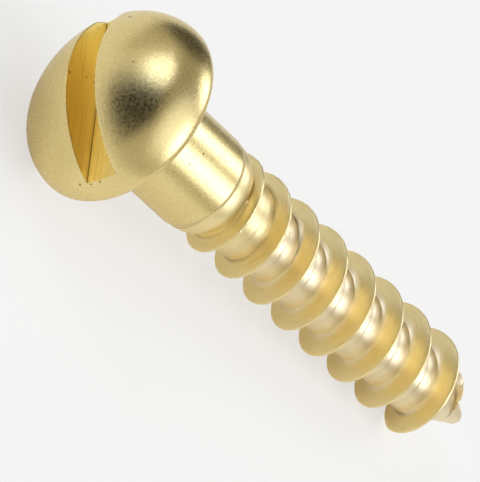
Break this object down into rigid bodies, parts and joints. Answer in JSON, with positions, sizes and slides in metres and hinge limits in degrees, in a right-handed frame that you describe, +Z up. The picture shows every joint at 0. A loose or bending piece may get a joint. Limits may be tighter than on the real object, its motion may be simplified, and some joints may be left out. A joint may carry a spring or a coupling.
{
  "type": "round head wood screw",
  "caption": "Solid brass wood screw with a domed slotted head, a plain shank, a coarse right-hand thread and a gimlet point.",
  "frame": {"origin": "centre of the bounding box, on the floor that the screw lies on: it rests on the rim of its head and on a thread crest near the point", "axes": "+X runs along the screw from head to point, which leans 5.9 degrees down, +Y runs along the drive slot, +Z is up"},
  "size_m": [0.024, 0.0076, 0.0077],
  "materials": {
    "brass": "satin, tumbled"
  },
  "bodies": {
    "root": {"wood_screw": "brass"}
  },
  "joints": []
}
